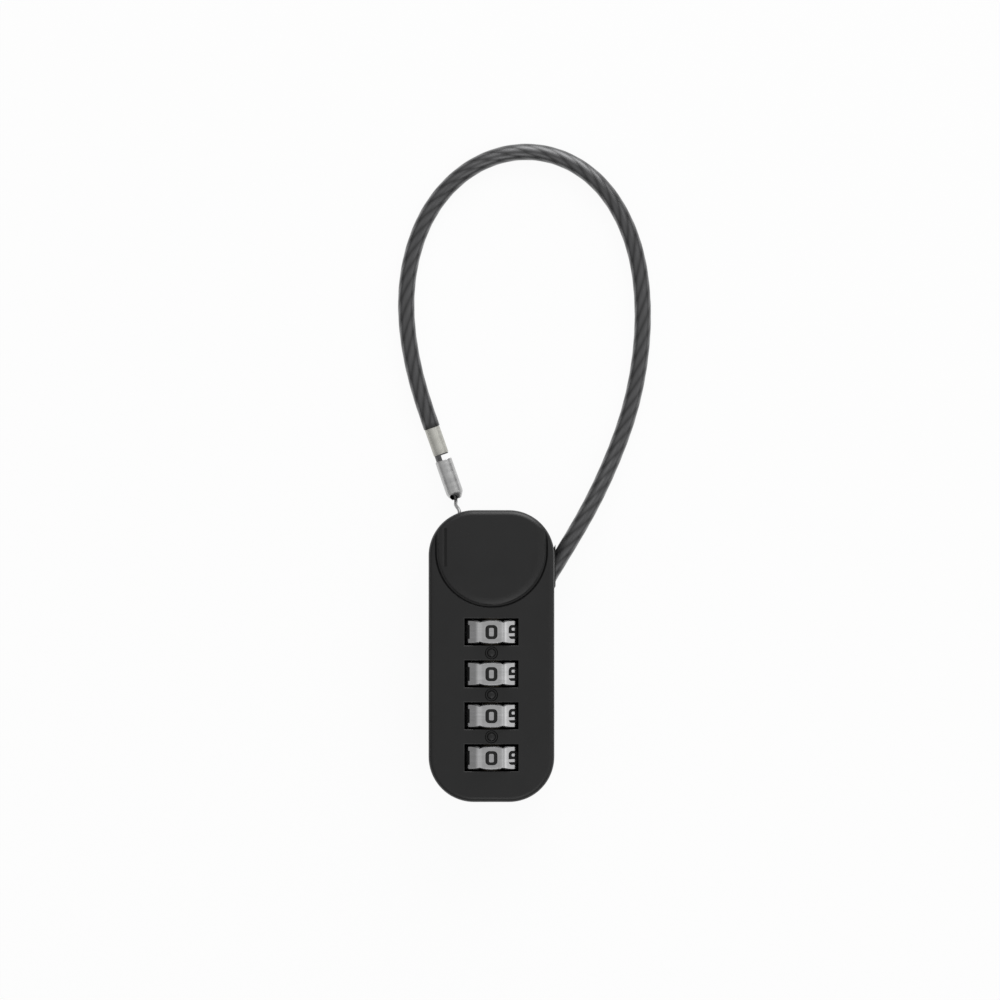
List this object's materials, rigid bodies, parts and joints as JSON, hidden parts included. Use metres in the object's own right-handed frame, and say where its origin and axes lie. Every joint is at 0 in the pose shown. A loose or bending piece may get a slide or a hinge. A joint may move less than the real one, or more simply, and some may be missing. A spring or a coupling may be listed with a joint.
{
  "type": "laptop cable lock",
  "caption": "Combination cable lock: a black head with metal number dials, and a short steel cable loop whose notched pin plugs into the head's end.",
  "frame": {"origin": "middle of the head's back, which the lock lies on", "axes": "+Z out of the face with the dial windows, +Y to the end with the pin's socket, +X to the side that the cable leaves"},
  "size_m": [0.0608, 0.1578, 0.0202],
  "materials": {
    "satin_black_plastic": "satin",
    "satin_dial_metal": "satin",
    "brass": "satin",
    "steel": "satin",
    "spring_steel": "polished",
    "zinc": "satin",
    "crimped_aluminium": "satin",
    "black_rubber": "matte",
    "smoked_jacket": "gloss"
  },
  "bodies": {
    "head": {"front_housing": "satin_black_plastic", "rear_cover": "satin_black_plastic", "spindle_bush": "brass", "spindle_spring": "spring_steel", "sleeve_spring": "spring_steel", "detent_spring": "spring_steel", "cable_grommet": "black_rubber", "cable_anchor": "zinc", "steel_cable": "smoked_jacket", "crimp_sleeve": "crimped_aluminium", "locking_pin": "steel", "tether_wire": "steel", "tether_anchor": "zinc", "cover_rivet_1": "zinc", "cover_rivet_2": "zinc", "cover_rivet_3": "zinc", "cover_rivet_4": "zinc", "cover_rivet_5": "zinc"},
    "dial_1": {"dial_1": "satin_dial_metal"},
    "dial_2": {"dial_2": "satin_dial_metal"},
    "dial_3": {"dial_3": "satin_dial_metal"},
    "dial_4": {"dial_4": "satin_dial_metal"},
    "code_sleeve_1": {"code_sleeve_1": "brass"},
    "code_sleeve_2": {"code_sleeve_2": "brass"},
    "code_sleeve_3": {"code_sleeve_3": "brass"},
    "code_sleeve_4": {"code_sleeve_4": "brass"},
    "spindle": {"spindle": "steel"},
    "latch_bolt": {"latch_bolt": "steel"},
    "reset_button": {"reset_button": "zinc"}
  },
  "joints": [
    {"name": "dial_1_turn", "type": "hinge", "parent": "head", "child": "dial_1", "pos_m": [0, 0.0058, 0.01125], "axis": [0, 1, 0], "continuous": true},
    {"name": "dial_2_turn", "type": "hinge", "parent": "head", "child": "dial_2", "pos_m": [0, -0.0042, 0.01125], "axis": [0, 1, 0], "continuous": true},
    {"name": "dial_3_turn", "type": "hinge", "parent": "head", "child": "dial_3", "pos_m": [0, -0.0142, 0.01125], "axis": [0, 1, 0], "continuous": true},
    {"name": "dial_4_turn", "type": "hinge", "parent": "head", "child": "dial_4", "pos_m": [0, -0.0242, 0.01125], "axis": [0, 1, 0], "continuous": true},
    {"name": "reset_button_press", "type": "slide", "parent": "head", "child": "reset_button", "axis": [0, 1, 0], "range_m": [0, 0.0014], "stiffness_N_per_m": 1500, "springref_m": -0.002, "deforming": ["sleeve_spring"]},
    {"name": "code_sleeve_1_shift", "type": "slide", "parent": "dial_1", "child": "code_sleeve_1", "axis": [0, 1, 0], "range_m": [0, 0.0014]},
    {"name": "code_sleeve_2_shift", "type": "slide", "parent": "dial_2", "child": "code_sleeve_2", "axis": [0, 1, 0], "range_m": [0, 0.0014]},
    {"name": "code_sleeve_3_shift", "type": "slide", "parent": "dial_3", "child": "code_sleeve_3", "axis": [0, 1, 0], "range_m": [0, 0.0014]},
    {"name": "code_sleeve_4_shift", "type": "slide", "parent": "dial_4", "child": "code_sleeve_4", "axis": [0, 1, 0], "range_m": [0, 0.0014]},
    {"name": "spindle_release", "type": "slide", "parent": "head", "child": "spindle", "axis": [0, -1, 0], "range_m": [0, 0.002], "stiffness_N_per_m": 1000, "springref_m": -0.002, "deforming": ["spindle_spring"]},
    {"name": "latch_bolt_slide", "type": "slide", "parent": "head", "child": "latch_bolt", "axis": [1, 0, 0], "range_m": [0, 0.002]}
  ],
  "couplings": [
    {"joint": "code_sleeve_1_shift", "follows": "reset_button_press", "ratio": 1},
    {"joint": "code_sleeve_2_shift", "follows": "reset_button_press", "ratio": 1},
    {"joint": "code_sleeve_3_shift", "follows": "reset_button_press", "ratio": 1},
    {"joint": "code_sleeve_4_shift", "follows": "reset_button_press", "ratio": 1},
    {"joint": "latch_bolt_slide", "follows": "spindle_release", "ratio": 1}
  ]
}
